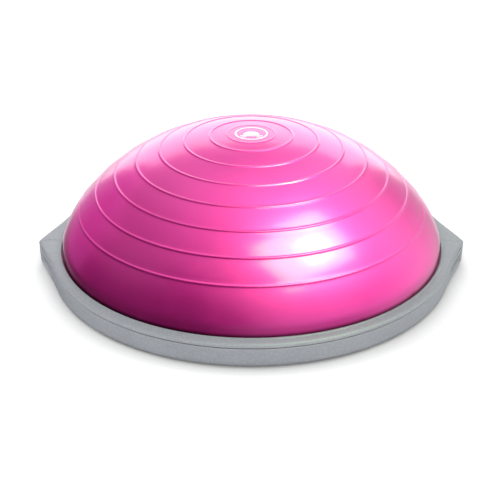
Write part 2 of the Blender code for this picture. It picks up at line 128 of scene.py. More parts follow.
# Dome
DOME_RADIUS = 299.8 * MM
DOME_WIDEST_HEIGHT = 56.4 * MM
DOME_RISE = DOME_HIGH.z - DOME_WIDEST_HEIGHT
DOME_SIDE_POWER = 2.27
DOME_CROWN_POWER = 1.318
DOME_SKIN = 2.5 * MM
NECK_RADIUS = 299.0 * MM
NECK_HEIGHT = 37.5 * MM
FLANGE_RADIUS = DOME_HIGH.x
FLANGE_BOTTOM = DOME_LOW.z
FLANGE_TOP = 34.0 * MM
DOME_STEPS = 288
RIB_START = 64.1 * MM
RIB_PITCH = 40.6 * MM
RIB_COUNT = 7
RIB_HALF_WIDTH = 2.9 * MM
RIB_HEIGHT = 1.1 * MM
EMBLEM_BEAD_ARC = 36.8 * MM
EMBLEM_BEAD_HEIGHT = 0.45 * MM
BAND_BULGE = 0.25 * MM
SKIN_WAVE = 0.22 * MM

# Emblem printed on the crown
EMBLEM_RADIUS = 25.6 * MM
EMBLEM_INK = 0.25 * MM

# Camera: the photograph's viewing angle
CAMERA_PLACE = (-0.002, -1.7257, 0.9141)
CAMERA_TILT = radians(62.70)
CAMERA_LENS = 86.4
CAMERA_SENSOR = 36.0

# Studio. Directions are azimuth and elevation in degrees: azimuth 0 is behind the dome and 90 to its right.
# The dome's gloss sees the glows and gloss panels; the matt surfaces are lit by the fill panels.
LIGHT_AIM = Vector((0.0, 0.0, 0.1))
WHITE = (1.0, 1.0, 1.0)
WARM = (1.0, 1.0, 0.50)
LIME = (0.55, 1.0, 0.28)
ROSE = (1.0, 0.25, 0.85)
GLOW_BASE = 0.025
GLOWS = [
    # azimuth, elevation, spread, brightness
    (50, 15, 50, 0.4),
    (95, 15, 50, 0.4),
    (140, 15, 50, 0.4),
    (0, 55, 50, 0.5),
    (75, 55, 50, 0.8),
    (150, 55, 50, 0.5),
    (-75, 55, 50, 0.3),
    (0, 90, 50, 0.3),
    (0, -20, 50, 0.3),
    (75, -20, 50, 0.6),
    (150, -20, 50, 0.4),
]
GLOSS_PANELS = [
    # name, azimuth, elevation, distance, size, brightness, colour
    ("backdrop", 0, 14, 2.3, (2.7, 1.6), 1.6, WHITE),
    ("key_core", 123, 53, 1.7, (0.46, 0.42), 14.0, WARM),
    ("key_window", 130, 56, 1.8, (1.40, 1.05), 9.0, LIME),
    ("paper_behind", 0, -18, 2.3, (2.7, 0.9), 0.6, WHITE),
    ("rose_left", -50, 10, 2.0, (1.6, 1.5), 0.5, ROSE),
]
FILL_PANELS = [
    ("fill_top", 0, 90, 2.3, (2.6, 2.6), 0.2, WHITE),
    ("fill_left", -90, 35, 2.3, (2.0, 1.4), 2.7, WHITE),
    ("fill_right", 90, 35, 2.3, (2.0, 1.4), 2.2, WHITE),
    ("fill_front", 180, 42, 2.6, (2.4, 1.4), 3.6, WHITE),
    ("fill_back", 0, 25, 2.3, (2.4, 1.4), 2.5, WHITE),
]
FLOOR_SHADE_REACH = 0.075
FLOOR_DARKEST = 0.10
FLOOR_GLOW = 0.55


# Reach of the painted shade in crevices and under overhangs, and at the dome's foot
CREVICE_REACH = 20.0 * MM
FOOT_SHADE_REACH = 9.0 * MM


# Shaders

def new_look(name):
    look = bpy.data.materials.new(name)
    look.use_nodes = True
    return look, look.node_tree, look.node_tree.nodes["Principled BSDF"]


def add_node(tree, kind, inputs=None, **settings):
    """Adds a shader node. An input's value is a number, a tuple, or another node's output socket."""
    made = tree.nodes.new(kind)
    for key, value in settings.items():
        setattr(made, key, value)
    for key, value in (inputs or {}).items():
        if isinstance(value, bpy.types.NodeSocket):
            tree.links.new(value, made.inputs[key])
        else:
            made.inputs[key].default_value = value
    return made


def place_socket(tree):
    return add_node(tree, "ShaderNodeTexCoord").outputs["Object"]


def noise_socket(tree, place, scale, detail=2.0, roughness=0.5):
    made = add_node(tree, "ShaderNodeTexNoise",
                    {"Vector": place, "Scale": scale, "Detail": detail, "Roughness": roughness})
    return made.outputs["Fac"]


def remap(tree, value, low, high, to_low, to_high):
    made = add_node(tree, "ShaderNodeMapRange",
                    {"Value": value, "From Min": low, "From Max": high, "To Min": to_low, "To Max": to_high})
    return made.outputs["Result"]


def mix_colour(tree, factor, first, second, blend="MIX"):
    made = add_node(tree, "ShaderNodeMix", data_type="RGBA", blend_type=blend)
    sockets = {"Factor": made.inputs[0], "A": made.inputs[6], "B": made.inputs[7]}
    for key, value in (("Factor", factor), ("A", first), ("B", second)):
        if isinstance(value, bpy.types.NodeSocket):
            tree.links.new(value, sockets[key])
        else:
            sockets[key].default_value = value
    return made.outputs[2]


def bump(tree, height, distance, strength=1.0, below=None):
    inputs = {"Height": height, "Distance": distance, "Strength": strength}
    if below is not None:
        inputs["Normal"] = below
    return add_node(tree, "ShaderNodeBump", inputs).outputs["Normal"]


def edge_socket(tree, low, high):
    """1 on convex edges, 0 on flat faces."""
    pointiness = add_node(tree, "ShaderNodeNewGeometry").outputs["Pointiness"]
    return remap(tree, pointiness, low, high, 0.0, 1.0)


def dome_vinyl():
    """Glossy pearl vinyl: a tinted satin body under a clear gloss, with fine grain, faint scuffs and painted shade
    at its foot next to the ring.
    """
    look, tree, shader = new_look("dome_vinyl")
    place = place_socket(tree)
    cloud = noise_socket(tree, place, 7.0, 3.0)
    grain = noise_socket(tree, place, 1500.0, 2.0, 0.6)
    ripple = noise_socket(tree, place, 16.0, 2.0)
    scuff = noise_socket(tree, add_node(tree, "ShaderNodeMapping",
                                        {"Vector": place, "Scale": (30.0, 160.0, 60.0)}).outputs["Vector"],
                         1.0, 4.0, 0.65)
    colour = mix_colour(tree, remap(tree, cloud, 0.35, 0.65, 0.0, 1.0),
                        (0.84, 0.026, 0.380, 1.0), (0.90, 0.032, 0.410, 1.0))
    wear_and_highlight = mix_colour(tree, remap(tree, scuff, 0.66, 0.80, 0.0, 0.22), colour, (0.90, 0.10, 0.46, 1.0))
    # Painted shade: where the ambient-occlusion mask is low, at the dome's foot by the ring, the colour goes dark
    # plum and the clear gloss thins.
    crevice = add_node(tree, "ShaderNodeAmbientOcclusion", {"Distance": FOOT_SHADE_REACH}, samples=8).outputs["AO"]
    shaded = mix_colour(tree, remap(tree, crevice, 0.45, 0.85, 0.9, 0.0), wear_and_highlight, (0.08, 0.003, 0.03, 1.0))
    tree.links.new(shaded, shader.inputs["Base Color"])
    tree.links.new(remap(tree, crevice, 0.45, 0.85, 0.15, 1.0), shader.inputs["Coat Weight"])
    tree.links.new(remap(tree, scuff, 0.50, 0.80, 0.44, 0.53), shader.inputs["Roughness"])
    tree.links.new(bump(tree, ripple, 0.5 * MM, 0.35, bump(tree, grain, 0.03 * MM, 0.5)),
                   shader.inputs["Normal"])
    shader.inputs["Metallic"].default_value = 0.90
    shader.inputs["Coat IOR"].default_value = 1.6
    tree.links.new(remap(tree, cloud, 0.3, 0.7, 0.16, 0.22), shader.inputs["Coat Roughness"])
    return look


def moulded_plastic(name, dark, light, edge, roughness):
    """Moulded plastic with a fine spark-eroded grain, soft colour drift, painted shade in crevices and under
    overhangs, and lighter edges that are edge wear and a painted highlight.
    """
    look, tree, shader = new_look(name)
    place = place_socket(tree)
    drift = noise_socket(tree, place, 9.0, 3.0)
    grain = noise_socket(tree, place, 1100.0, 3.0, 0.6)
    fleck = noise_socket(tree, place, 320.0, 2.0, 0.5)
    body = mix_colour(tree, remap(tree, drift, 0.35, 0.65, 0.0, 1.0), (*dark, 1.0), (*light, 1.0))
    specked = mix_colour(tree, remap(tree, fleck, 0.35, 0.75, 0.0, 0.25), body, (*edge, 1.0))
    # Painted shade: where the ambient-occlusion mask finds crevices, slots and scoops, the colour darkens towards a
    # quarter of the dark tone.
    crevice = add_node(tree, "ShaderNodeAmbientOcclusion", {"Distance": CREVICE_REACH}, samples=8)
    painted_shade = remap(tree, crevice.outputs["AO"], 0.35, 0.80, 0.65, 0.0)
    shaded = mix_colour(tree, painted_shade, specked, (*[0.25 * channel for channel in dark], 1.0))
    # Edge wear and a painted highlight: convex edges, such as the ring's lip and shoulder, are lightened towards
    # the edge colour.
    edge_wear_and_highlight = edge_socket(tree, 0.515, 0.58)
    wear_and_highlight = mix_colour(tree, remap(tree, edge_wear_and_highlight, 0.0, 1.0, 0.0, 0.85), shaded, (*edge, 1.0))
    tree.links.new(wear_and_highlight, shader.inputs["Base Color"])
    tree.links.new(remap(tree, fleck, 0.3, 0.7, roughness - 0.05, roughness + 0.06), shader.inputs["Roughness"])
    tree.links.new(bump(tree, grain, 0.06 * MM, 0.7), shader.inputs["Normal"])
    shader.inputs["Specular IOR Level"].default_value = 0.28
    return look


def foot_rubber():
    look, tree, shader = new_look("foot_rubber")
    place = place_socket(tree)
    dust = noise_socket(tree, place, 90.0, 4.0, 0.6)
    grain = noise_socket(tree, place, 1400.0, 2.0)
    colour = mix_colour(tree, remap(tree, dust, 0.45, 0.75, 0.0, 0.5),
                        (0.028, 0.028, 0.031, 1.0), (0.085, 0.083, 0.080, 1.0))
    tree.links.new(colour, shader.inputs["Base Color"])
    tree.links.new(remap(tree, dust, 0.3, 0.7, 0.62, 0.88), shader.inputs["Roughness"])
    tree.links.new(bump(tree, grain, 0.05 * MM, 0.8), shader.inputs["Normal"])
    return look


def screw_steel():
    """Zinc-plated steel, turned, with fine marks and faint stains."""
    look, tree, shader = new_look("screw_steel")
    place = place_socket(tree)
    marks = noise_socket(tree, place, 1800.0, 2.0)
    stain = noise_socket(tree, place, 240.0, 3.0)
    colour = mix_colour(tree, remap(tree, stain, 0.4, 0.7, 0.0, 1.0),
                        (0.62, 0.62, 0.64, 1.0), (0.48, 0.47, 0.46, 1.0))
    tree.links.new(colour, shader.inputs["Base Color"])
    shader.inputs["Metallic"].default_value = 1.0
    tree.links.new(remap(tree, stain, 0.3, 0.7, 0.22, 0.42), shader.inputs["Roughness"])
    tree.links.new(bump(tree, marks, 0.02 * MM, 0.6), shader.inputs["Normal"])
    return look


def crown_ink():
    """Screen-printed white ink, thin enough that the pink shows through in places."""
    look, tree, shader = new_look("crown_ink")
    place = place_socket(tree)
    thin = noise_socket(tree, place, 420.0, 3.0, 0.6)
    colour = mix_colour(tree, remap(tree, thin, 0.50, 0.72, 0.0, 0.45),
                        (0.95, 0.90, 0.94, 1.0), (0.93, 0.45, 0.70, 1.0))
    tree.links.new(colour, shader.inputs["Base Color"])
    tree.links.new(remap(tree, thin, 0.3, 0.7, 0.25, 0.40), shader.inputs["Roughness"])
    tree.links.new(bump(tree, thin, 0.03 * MM, 0.5), shader.inputs["Normal"])
    shader.inputs["Coat Weight"].default_value = 0.5
    return look


# Mesh tools

def finish_piece(bm, name, look, body, nodes, sharp=38.0):
    """Makes a piece that rides on a body and stands for CAD nodes."""
    bmesh.ops.recalc_face_normals(bm, faces=bm.faces)
    mesh = bpy.data.meshes.new(name)
    bm.to_mesh(mesh)
    bm.free()
    return place_piece(mesh, name, look, body, nodes, sharp)


def place_piece(mesh, name, look, body, nodes, sharp=38.0, at=(0.0, 0.0, 0.0)):
    if not mesh.materials:
        mesh.shade_smooth()
        mesh.set_sharp_from_angle(angle=radians(sharp))
        mesh.materials.append(look)
    piece = bpy.data.objects.new(name, mesh)
    bpy.context.scene.collection.objects.link(piece)
    piece.location = at
    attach(piece, body)
    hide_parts(*nodes)
    return piece


def rounded(corners, steps=4):
    """A section with rounded corners. A corner is (radius, height, rounding), the rounding being the
    length that it takes off each side; a corner with no rounding stays one point."""
    points = []
    for i, (r, z, rounding) in enumerate(corners):
        if not rounding:
            points.append((r, z))
            continue
        ends = []
        for other in (corners[i - 1], corners[(i + 1) % len(corners)]):
            away = (other[0] - r, other[1] - z)
            length = hypot(*away)
            cut = min(rounding, 0.48 * length) / length
            ends.append((r + away[0] * cut, z + away[1] * cut))
        for step in range(steps + 1):
            t = step / steps
            points.append(tuple((1 - t) ** 2 * ends[0][k] + 2 * t * (1 - t) * (r, z)[k] + t ** 2 * ends[1][k]
                                for k in (0, 1)))
    return points


def swept(section_at, angles, bm=None):
    """A closed ring whose section, a closed loop of (radius, height) points, may change with the angle."""
    bm = bm or bmesh.new()
    rows = [[bm.verts.new((r * cos(angle), r * sin(angle), z)) for r, z in section_at(angle)]
            for angle in angles]
    for row, after in zip(rows, rows[1:] + rows[:1]):
        for i in range(len(row)):
            j = (i + 1) % len(row)
            bm.faces.new((row[i], after[i], after[j], row[j]))
    return bm


def turned(profile, steps, bm=None, at=(0.0, 0.0)):
    """A turned solid. Points of the profile on the axis are shared by every step."""
    bm = bm or bmesh.new()
    on_axis = {}
    columns = []
    for step in range(steps):
        angle = tau * step / steps
        column = []
        for i, (r, z) in enumerate(profile):
            if r > 0.0:
                column.append(bm.verts.new((at[0] + r * cos(angle), at[1] + r * sin(angle), z)))
            else:
                if i not in on_axis:
                    on_axis[i] = bm.verts.new((*at, z))
                column.append(on_axis[i])
        columns.append(column)
    for left, right in zip(columns, columns[1:] + columns[:1]):
        for i in range(len(profile)):
            j = (i + 1) % len(profile)
            corners = list(dict.fromkeys((left[i], right[i], right[j], left[j])))
            if len(corners) > 2:
                bm.faces.new(corners)
    return bm


def add_box(bm, size, centre, turn=0.0):
    place = Matrix.Rotation(turn, 4, "Z") @ Matrix.Translation(centre) @ Matrix.Diagonal((*size, 1.0))
    bmesh.ops.create_cube(bm, size=1.0, matrix=place)


def carve(bm, tool, operation):
    """Cuts or joins a closed mesh with another and gives the result as a new bmesh."""
    parts = []
    for part in (bm, tool):
        bmesh.ops.recalc_face_normals(part, faces=part.faces)
        mesh = bpy.data.meshes.new("carve")
        part.to_mesh(mesh)
        part.free()
        made = bpy.data.objects.new("carve", mesh)
        bpy.context.scene.collection.objects.link(made)
        parts.append(made)
    step = parts[0].modifiers.new("carve", "BOOLEAN")
    step.operation = operation
    step.solver = "MANIFOLD"
    step.object = parts[1]
    result = bmesh.new()
    result.from_object(parts[0], bpy.context.evaluated_depsgraph_get())
    for part in parts:
        mesh = part.data
        bpy.data.objects.remove(part)
        bpy.data.meshes.remove(mesh)
    return result


# Outline of the platform

def smooth_step(value, low, high):
    share = min(max((value - low) / (high - low), 0.0), 1.0)
    return share * share * (3 - 2 * share)


def from_tip(angle):
    """The angle's distance from the nearer grip's middle, 0 at the tip."""
    return abs(atan2(sin(2 * angle), cos(2 * angle))) / 2


def edge_radius(angle, round_radius, tip_radius):
    """The platform's outer edge: a circle, and two straight sides that meet at each tip."""
    away = min(from_tip(angle), atan(TIP_SLOPE))
    side = tip_radius / (cos(away) + TIP_SLOPE * sqrt(sin(away) ** 2 + TIP_ROUNDING ** 2))
    beyond = side * (1 + TIP_SLOPE * TIP_ROUNDING) - round_radius
    if beyond > CORNER_BLEND:
        return round_radius + beyond
    return round_radius + max(beyond + CORNER_BLEND, 0.0) ** 2 / (4 * CORNER_BLEND)


def outline_angles():
    """Angles round the platform, 0.1 degrees apart at the tips and 2 degrees apart on the round."""
    quarter = []
    away = 0.0
    while away < 88.9:
        quarter.append(radians(away))
        away += 0.1 + 1.9 * smooth_step(away, 0.4, 24.0)
    quarter.append(pi / 2)
    half = quarter[:-1] + [pi - angle for angle in reversed(quarter)]
    return half[:-1] + [pi + angle for angle in half[:-1]]


# Pieces

def scoop_depth(angle):
    """How far the finger scoops under each grip go in, 0 at the tip and on the round."""
    away = from_tip(angle)
    overhang = edge_radius(angle, SKIRT_RADIUS, TIP_RADIUS) - SKIRT_RADIUS
    inside = smooth_step(away, SCOOP_START, SCOOP_FULL) * (1 - smooth_step(away, SCOOP_FADE, SCOOP_END))
    return SCOOP_SHARE * overhang * inside


def grip_lines():
    """The low rings of the standing surface, as corners of the base's section from the middle out."""
    corners = []
    level = SKIRT_BOTTOM + FIELD_DEPTH
    count = int((FIELD_OUTER_RADIUS - FIELD_INNER_RADIUS - 2 * GRIP_LINE_PITCH) / GRIP_LINE_PITCH)
    start = (FIELD_INNER_RADIUS + FIELD_OUTER_RADIUS - (count - 1) * GRIP_LINE_PITCH) / 2
    for i in range(count):
        middle = start + i * GRIP_LINE_PITCH
        half = GRIP_LINE_WIDTH / 2
        flank = 0.35 * half
        corners += [(middle - half, level, 0.0), (middle - flank, level - GRIP_LINE_HEIGHT, 0.0),
                    (middle + flank, level - GRIP_LINE_HEIGHT, 0.0), (middle + half, level, 0.0)]
    return corners


def base_section(angle):
    edge = edge_radius(angle, SKIRT_RADIUS, TIP_RADIUS)
    scoop = scoop_depth(angle)
    level = SKIRT_BOTTOM + FIELD_DEPTH
    underside = [
        (HUB_HOLE_RADIUS, WELL_CEILING, 0.3 * MM),
        (WELL_RADIUS, WELL_CEILING, 0.6 * MM),
        (WELL_RADIUS, SKIRT_BOTTOM, 0.8 * MM),
        (FIELD_INNER_RADIUS, SKIRT_BOTTOM, 0.6 * MM),
        (FIELD_INNER_RADIUS + FIELD_DEPTH, level, 0.4 * MM),
        *grip_lines(),
        (FIELD_OUTER_RADIUS - FIELD_DEPTH, level, 0.4 * MM),
        (FIELD_OUTER_RADIUS, SKIRT_BOTTOM, 0.6 * MM),
    ]
    outside = [
        (edge - 3.4 * MM, SKIRT_BOTTOM, 0.8 * MM),
        (edge - 0.4 * MM, SKIRT_BOTTOM + 1.4 * MM, 1.4 * MM),
    ]
    for row in range(SCOOP_ROWS + 1):
        share = row / SCOOP_ROWS
        lean = SKIRT_LEAN * share
        outside.append((edge + lean - scoop * sin(pi * share) ** 0.38, SCOOP_LOW + share * (SCOOP_HIGH - SCOOP_LOW),
                        0.0))
    outside += [
        (edge + SKIRT_LEAN, SKIRT_TOP - SLOT_HALF, 2.6 * MM),
        (edge - SLOT_DEPTH, SKIRT_TOP - SLOT_HALF, 0.3 * MM),
        (edge - SLOT_DEPTH, SKIRT_TOP, 0.3 * MM),
    ]
    inside = [
        (SKIRT_RADIUS - SKIRT_WALL, SKIRT_TOP, 0.4 * MM),
        (SKIRT_RADIUS - SKIRT_WALL, PLATE_TOP, 1.0 * MM),
        (SEAT_WALL_OUTER, PLATE_TOP, 1.0 * MM),
        (SEAT_WALL_OUTER, SEAT_WALL_TOP, 0.4 * MM),
        (SEAT_WALL_INNER, SEAT_WALL_TOP, 0.4 * MM),
        (SEAT_WALL_INNER, PLATE_TOP, 1.0 * MM),
        (HUB_RADIUS, PLATE_TOP, 1.0 * MM),
        (HUB_RADIUS, SEAT_WALL_TOP, 0.4 * MM),
        (HUB_HOLE_RADIUS, SEAT_WALL_TOP, 0.3 * MM),
    ]
    return rounded(underside + outside + inside)


def platform_base(look):
    bm = swept(base_section, outline_angles())

    added = bmesh.new()
    start = HUB_RADIUS - 1.0 * MM
    end = SEAT_WALL_INNER + 1.0 * MM
    low = PLATE_TOP - 1.0 * MM
    high = SEAT_WALL_TOP - 0.4 * MM
    for i in range(BASE_RIB_COUNT):
        add_box(added, (end - start, BASE_RIB_THICKNESS, high - low),
                ((start + end) / 2, 0.0, (low + high) / 2), tau * (i + 0.5) / BASE_RIB_COUNT)
    screw_radius = (SCREW_HIGH.x - SCREW_LOW.x) / 2
    boss_radius = 3.75 * MM
    for place in screw_places():
        turned([(0.0, low), (boss_radius, low), (boss_radius, SKIRT_TOP - 0.3 * MM),
                (0.0, SKIRT_TOP - 0.3 * MM)], 32, added, place)
    bm = carve(bm, added, "UNION")

    holes = bmesh.new()
    for place in screw_places():
        add_hole(holes, place, screw_radius + 0.4 * MM, 6.9 * MM, 2.3 * MM, SKIRT_TOP + 2.0 * MM)
    foot_radius = (FOOT_HIGH.x - FOOT_LOW.x) / 2
    for place in foot_places():
        add_hole(holes, place, foot_radius + 0.3 * MM, 5.9 * MM, 4.3 * MM, PLATE_TOP + 2.0 * MM)
    bm = carve(bm, holes, "DIFFERENCE")
    piece = finish_piece(bm, "platform_base", look, "platform", ["base_platform"])
    piece.visible_glossy = False


def add_hole(bm, place, wide, step, narrow, top):
    """A counterbored hole's cutter, with a small chamfer at its mouth."""
    chamfer = 0.5 * MM
    low = SKIRT_BOTTOM - 2.0 * MM
    profile = [(0.0, low), (wide + chamfer, low), (wide + chamfer, SKIRT_BOTTOM),
               (wide, SKIRT_BOTTOM + chamfer), (wide, step), (narrow, step), (narrow, top), (0.0, top)]
    turned(profile, 48, bm, place)


def screw_places():
    return [node_centre(f"clamp_screw_{i:02d}").xy for i in range(1, 17)]


def foot_places():
    return [node_centre(f"foot_{i}").xy for i in range(1, 9)]


def ring_section(angle):
    edge = edge_radius(angle, RING_RADIUS, RING_TIP_RADIUS)
    overhang = smooth_step(edge - RING_RADIUS, 1.0 * MM, 6.0 * MM)
    across = edge * sin(from_tip(angle))
    fold = max(0.0, 1.0 - (across / CREASE_HALF_WIDTH) ** 2) ** 2
    crease = CREASE_HEIGHT * fold * overhang
    undercut = min(0.10 * scoop_depth(angle), 2.2 * MM)
    inner = RING_INNER_RADIUS
    return rounded([
        (inner, FLANGE_TOP + 0.3 * MM, 0.4 * MM),
        (FLANGE_RADIUS + 0.3 * MM, RING_BOTTOM, 0.0),
        (edge - SLOT_DEPTH, RING_BOTTOM, 0.3 * MM),
        (edge - SLOT_DEPTH, RING_BOTTOM + SLOT_HALF, 0.3 * MM),
        (edge - 0.2 * MM - undercut, RING_BOTTOM + SLOT_HALF, 1.6 * MM),
        (edge - 0.4 * MM, 39.2 * MM, 1.4 * MM),
        (edge - 3.0 * MM, 41.4 * MM + 0.4 * crease, 1.6 * MM),
        (edge - 7.0 * MM, 41.7 * MM + crease, 1.0 * MM),
        (inner + 6.2 * MM, RING_TOP + crease, 0.8 * MM),
        (inner + 4.6 * MM, RING_TOP, 0.5 * MM),
        (inner + 3.8 * MM, RING_HIGH.z - 0.1 * MM, 0.6 * MM),
        (inner + 1.0 * MM, RING_HIGH.z, 0.8 * MM),
        (inner, 41.4 * MM, 0.9 * MM),
    ])


def grip_ring(look):
    piece = finish_piece(swept(ring_section, outline_angles()), "grip_ring", look, "platform",
                         ["top_ring"])
    piece.visible_glossy = False


def dome_curve():
    """The dome's plain outer curve from the crown down to the neck, as dense radius and height arrays."""
    angles = np.linspace(pi / 2, 0.0, 1600)
    radius = DOME_RADIUS * np.maximum(np.cos(angles), 0.0) ** (2 / DOME_SIDE_POWER)
    height = DOME_WIDEST_HEIGHT + DOME_RISE * np.sin(angles) ** (2 / DOME_CROWN_POWER)
    radius[0] = 0.0
    drop = np.linspace(0.0, 1.0, 120)[1:]
    radius = np.append(radius, DOME_RADIUS - (DOME_RADIUS - NECK_RADIUS) * drop ** 2)
    height = np.append(height, DOME_WIDEST_HEIGHT - (DOME_WIDEST_HEIGHT - NECK_HEIGHT) * drop)
    arc = np.append(0.0, np.cumsum(np.hypot(np.diff(radius), np.diff(height))))
    return radius, height, arc


def bead(distance, half_width, height):
    share = abs(distance) / half_width
    return height * (1 - share ** 2) ** 2 if share < 1.0 else 0.0


def dome_stations(total):
    """Distances down the dome's curve, close together on the ribs."""
    ribs = [EMBLEM_BEAD_ARC] + [RIB_START + RIB_PITCH * i for i in range(RIB_COUNT)]
    fine = [rib + RIB_HALF_WIDTH * share for rib in ribs for share in np.linspace(-1.05, 1.05, 15)]
    coarse = [place for place in np.arange(5.0 * MM, total, 5.0 * MM)
              if min(abs(place - rib) for rib in ribs) > RIB_HALF_WIDTH + 1.5 * MM]
    return sorted(fine + coarse) + [total]


def dome_relief(arc):
    """How far the ribs and the bands between them stand out of the plain curve."""
    relief = bead(arc - EMBLEM_BEAD_ARC, RIB_HALF_WIDTH, EMBLEM_BEAD_HEIGHT)
    for i in range(RIB_COUNT):
        relief += bead(arc - RIB_START - RIB_PITCH * i, RIB_HALF_WIDTH, RIB_HEIGHT)
    along = (arc - RIB_START) / RIB_PITCH
    if 0.0 < along < RIB_COUNT:
        relief += BAND_BULGE * (1 - (2 * (along % 1.0) - 1) ** 2)
    return relief


def air_dome(look):
    radius, height, arc = dome_curve()
    outer = [(0.0, DOME_HIGH.z, 0.0)]
    for place in dome_stations(arc[-1]):
        r = np.interp(place, arc, radius)
        z = np.interp(place, arc, height)
        reach = 1.0 * MM
        run = np.interp(place + reach, arc, radius) - np.interp(place - reach, arc, radius)
        fall = np.interp(place - reach, arc, height) - np.interp(place + reach, arc, height)
        length = hypot(run, fall)
        relief = dome_relief(place)
        outer.append((r + relief * fall / length, z + relief * run / length, 1.0))
    flange = [
        (NECK_RADIUS + 0.5 * MM, FLANGE_TOP + 1.4 * MM, 0.0),
        (NECK_RADIUS + 2.6 * MM, FLANGE_TOP, 0.0),
        (FLANGE_RADIUS - 0.4 * MM, FLANGE_TOP, 0.0),
        (FLANGE_RADIUS, FLANGE_TOP - 0.4 * MM, 0.0),
        (FLANGE_RADIUS, FLANGE_BOTTOM + 0.4 * MM, 0.0),
        (FLANGE_RADIUS - 0.4 * MM, FLANGE_BOTTOM, 0.0),
        (NECK_RADIUS - DOME_SKIN, FLANGE_BOTTOM, 0.0),
    ]
    inner = []
    for place in np.linspace(arc[-1], 0.0, 40)[:-1]:
        r = np.interp(place, arc, radius)
        z = np.interp(place, arc, height)
        inner.append((r * (1 - DOME_SKIN / DOME_RADIUS), z - DOME_SKIN * (z > DOME_WIDEST_HEIGHT), 0.0))
    inner.append((0.0, DOME_HIGH.z - DOME_SKIN, 0.0))
    profile = outer + flange + inner
    bm = turned([(r, z) for r, z, _ in profile], DOME_STEPS)
    for vert in bm.verts:
        r = hypot(vert.co.x, vert.co.y)
        fade = smooth_step(r, 30.0 * MM, 110.0 * MM) * smooth_step(vert.co.z, 60.0 * MM, 90.0 * MM)
        if fade > 0.0:
            wave = noise.noise(vert.co * 9.0) + 0.5 * noise.noise(vert.co * 21.0)
            vert.co *= 1 + SKIN_WAVE * fade * wave / vert.co.length
    piece = finish_piece(bm, "air_dome", look, "dome", ["dome_bladder"], sharp=60.0)
    sink_with_dome(piece)
    piece.visible_diffuse = False
    return piece


def sink_with_dome(piece):
    """Gives the piece its own copy of its mesh."""
    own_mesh(piece)


def crown_height(x, y):
    """Height of the dome's skin near the crown."""
    share = 1 - (hypot(x, y) / DOME_RADIUS) ** DOME_SIDE_POWER
    return DOME_WIDEST_HEIGHT + DOME_RISE * share ** (1 / DOME_CROWN_POWER)


def printed_patch(bm, rows):
    """A thin closed slab of ink on the crown. Rows are lists of (x, y) of the same length."""
    layers = []
    for lift in (-EMBLEM_INK, EMBLEM_INK):
        layers.append([[bm.verts.new((x, y, crown_height(x, y) + lift)) for x, y in row] for row in rows])
    bottom, top = layers
    count = len(rows[0])
    for i in range(len(rows) - 1):
        for j in range(count - 1):
            bm.faces.new((top[i][j], top[i][j + 1], top[i + 1][j + 1], top[i + 1][j]))
            bm.faces.new((bottom[i][j], bottom[i + 1][j], bottom[i + 1][j + 1], bottom[i][j + 1]))
    rim = [(0, j) for j in range(count)]
    rim += [(i, count - 1) for i in range(1, len(rows))]
    rim += [(len(rows) - 1, j) for j in range(count - 2, -1, -1)]
    rim += [(i, 0) for i in range(len(rows) - 2, 0, -1)]
    for (i, j), (k, l) in zip(rim, rim[1:] + rim[:1]):
        bm.faces.new((bottom[i][j], bottom[k][l], top[k][l], top[i][j]))


def crown_print(look):
    """A plain picture of the trainer: a half-round over a bar, inside a ring, with two short dashes."""
    bm = bmesh.new()
    ring_inner = EMBLEM_RADIUS - 2.6 * MM
    section = []
    for r, lift in ((ring_inner, -1), (EMBLEM_RADIUS, -1), (EMBLEM_RADIUS, 1), (ring_inner, 1)):
        section.append((r, crown_height(r, 0.0) + lift * EMBLEM_INK))
    turned(section, 120, bm)
    half_round = 12.6 * MM
    base_line = -6.4 * MM
    rows = []
    for i in range(13):
        y = base_line + half_round * 0.985 * sin(pi / 2 * i / 12)
        half = half_round * sqrt(1 - ((y - base_line) / half_round) ** 2)
        rows.append([(half * (2 * j / 24 - 1), y) for j in range(25)])
    printed_patch(bm, rows)
    for middle, half, width in ((0.0, 17.6 * MM, 3.0 * MM), (-11.5 * MM, 3.4 * MM, 2.2 * MM),
                                (11.5 * MM, 3.4 * MM, 2.2 * MM)):
        y = base_line - 4.2 * MM if middle == 0.0 else base_line - 9.0 * MM
        printed_patch(bm, [[(middle + half * (2 * j / 20 - 1), y + width * (k - 0.5)) for j in range(21)]
                           for k in (0, 0.5, 1)])
    piece = finish_piece(bm, "crown_print", look, "dome", ["crown_emblem"])
    sink_with_dome(piece)
    return piece


def valve_grommet(look):
    neck = 15.0 * MM
    bore = 11.1 * MM
    profile = rounded([
        (bore, SEAT_LOW.z, 0.5 * MM),
        (neck, SEAT_LOW.z, 0.6 * MM),
        (neck, FLANGE_BOTTOM, 0.3 * MM),
        (SEAT_HIGH.x, FLANGE_BOTTOM, 0.3 * MM),
        (SEAT_HIGH.x, SEAT_HIGH.z, 0.9 * MM),
        (bore, SEAT_HIGH.z, 0.6 * MM),
    ])
    return finish_piece(turned(profile, 96), "valve_grommet", look, "platform", ["valve_seat"])


